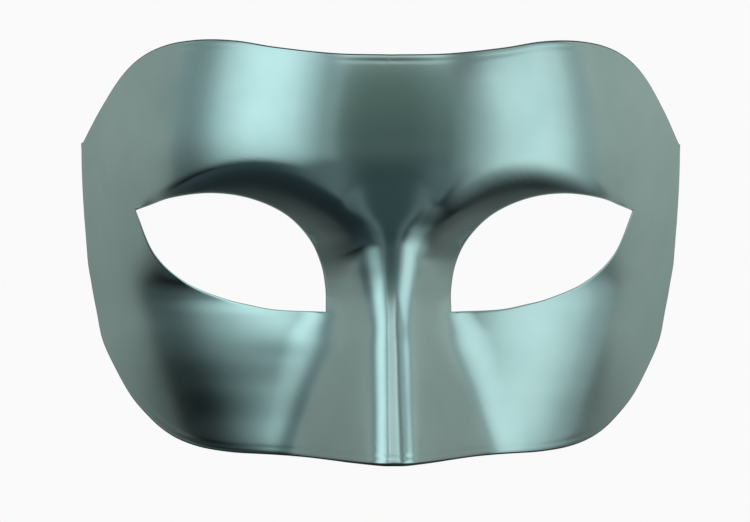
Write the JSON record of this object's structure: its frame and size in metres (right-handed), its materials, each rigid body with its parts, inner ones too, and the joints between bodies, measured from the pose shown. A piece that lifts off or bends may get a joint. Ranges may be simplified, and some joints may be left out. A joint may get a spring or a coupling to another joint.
{
  "type": "half mask",
  "caption": "Thin moulded half mask for a costume, covering brow, cheeks and nose, with almond eye openings and a straight ridge down the nose.",
  "frame": {"origin": "on the surface the mask lies on, under the middle of its outline", "axes": "+X across the face to the viewer's right, +Y up the face to the brow, +Z out of the face, away from the table"},
  "size_m": [0.175, 0.1146, 0.0823],
  "materials": {
    "silver_shell": "satin"
  },
  "bodies": {
    "root": {"mask_shell": "silver_shell"}
  },
  "joints": []
}
